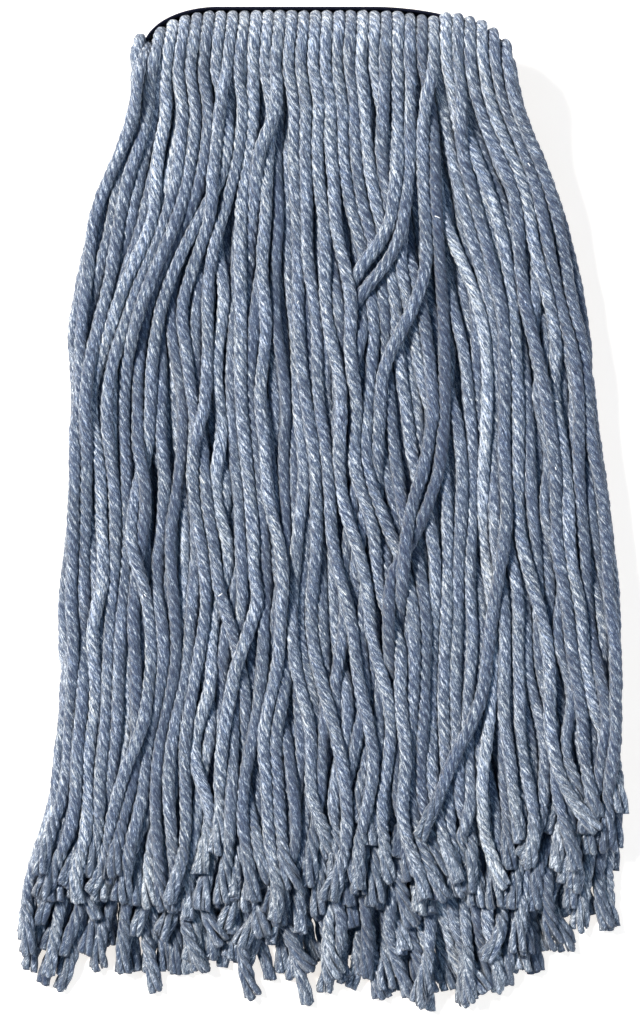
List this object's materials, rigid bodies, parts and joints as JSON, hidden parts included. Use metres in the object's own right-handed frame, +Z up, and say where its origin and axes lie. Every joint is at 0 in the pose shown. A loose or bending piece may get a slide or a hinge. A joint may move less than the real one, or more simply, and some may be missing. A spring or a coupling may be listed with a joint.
{
  "type": "string mop head",
  "caption": "Cut-end string mop head: twisted four-ply yarns sewn side by side under a narrow headband, folded in half and lying flat.",
  "frame": {"origin": "middle of the footprint, on the surface the mop lies on", "axes": "+Y along the yarn towards the folded edge with the headband, +X to the right across the yarn, +Z up"},
  "size_m": [0.226, 0.3988, 0.048],
  "materials": {
    "headband_tape": "matt woven tape, very dark navy",
    "seam_thread": "matt sewing thread, dark navy",
    "yarn": "matt marled blue-grey twisted cotton blend yarn"
  },
  "bodies": {
    "bottom_half": {"bottom_inner_yarn_1": "yarn", "bottom_yarn_1a": "yarn", "bottom_yarn_1b": "yarn", "bottom_inner_yarn_2": "yarn", "bottom_yarn_2a": "yarn", "bottom_yarn_2b": "yarn", "bottom_inner_yarn_3": "yarn", "bottom_yarn_3a": "yarn", "bottom_yarn_3b": "yarn", "bottom_inner_yarn_4": "yarn", "bottom_yarn_4a": "yarn", "bottom_yarn_4b": "yarn", "bottom_inner_yarn_5": "yarn", "bottom_yarn_5a": "yarn", "bottom_yarn_5b": "yarn", "bottom_inner_yarn_6": "yarn", "bottom_yarn_6a": "yarn", "bottom_yarn_6b": "yarn"},
    "band_and_fold": {"headband": "headband_tape", "seam_thread_1": "seam_thread", "seam_thread_2": "seam_thread", "seam_thread_3": "seam_thread", "seam_thread_4": "seam_thread", "bobbin_thread_1": "seam_thread", "bobbin_thread_2": "seam_thread", "bobbin_thread_3": "seam_thread", "bobbin_thread_4": "seam_thread", "fold_yarn_1": "yarn", "fold_inner_yarn_1": "yarn", "fold_yarn_2": "yarn", "fold_inner_yarn_2": "yarn", "fold_yarn_3": "yarn", "fold_inner_yarn_3": "yarn", "fold_yarn_4": "yarn", "fold_inner_yarn_4": "yarn", "fold_yarn_5": "yarn", "fold_inner_yarn_5": "yarn", "fold_yarn_6": "yarn", "fold_inner_yarn_6": "yarn"},
    "top_lock_1": {"top_inner_yarn_1": "yarn", "top_yarn_1a": "yarn", "top_yarn_1b": "yarn"},
    "top_lock_2": {"top_inner_yarn_2": "yarn", "top_yarn_2a": "yarn", "top_yarn_2b": "yarn"},
    "top_lock_3": {"top_inner_yarn_3": "yarn", "top_yarn_3a": "yarn", "top_yarn_3b": "yarn"},
    "top_lock_4": {"top_inner_yarn_4": "yarn", "top_yarn_4a": "yarn", "top_yarn_4b": "yarn"},
    "top_lock_5": {"top_inner_yarn_5": "yarn", "top_yarn_5a": "yarn", "top_yarn_5b": "yarn"},
    "top_lock_6": {"top_inner_yarn_6": "yarn", "top_yarn_6a": "yarn", "top_yarn_6b": "yarn"}
  },
  "joints": [
    {"name": "band_turn", "type": "hinge", "parent": "bottom_half", "child": "band_and_fold", "pos_m": [0, 0.19318, 0.00626], "axis": [-1, 0, 0], "range_deg": [0, 90]},
    {"name": "lock_1_lift", "type": "hinge", "parent": "band_and_fold", "child": "top_lock_1", "pos_m": [0, 0.19318, 0.04174], "axis": [-1, 0, 0], "range_deg": [0, 90]},
    {"name": "lock_2_lift", "type": "hinge", "parent": "band_and_fold", "child": "top_lock_2", "pos_m": [0, 0.19318, 0.04174], "axis": [-1, 0, 0], "range_deg": [0, 90]},
    {"name": "lock_3_lift", "type": "hinge", "parent": "band_and_fold", "child": "top_lock_3", "pos_m": [0, 0.19318, 0.04174], "axis": [-1, 0, 0], "range_deg": [0, 90]},
    {"name": "lock_4_lift", "type": "hinge", "parent": "band_and_fold", "child": "top_lock_4", "pos_m": [0, 0.19318, 0.04174], "axis": [-1, 0, 0], "range_deg": [0, 90]},
    {"name": "lock_5_lift", "type": "hinge", "parent": "band_and_fold", "child": "top_lock_5", "pos_m": [0, 0.19318, 0.04174], "axis": [-1, 0, 0], "range_deg": [0, 90]},
    {"name": "lock_6_lift", "type": "hinge", "parent": "band_and_fold", "child": "top_lock_6", "pos_m": [0, 0.19318, 0.04174], "axis": [-1, 0, 0], "range_deg": [0, 90]}
  ]
}
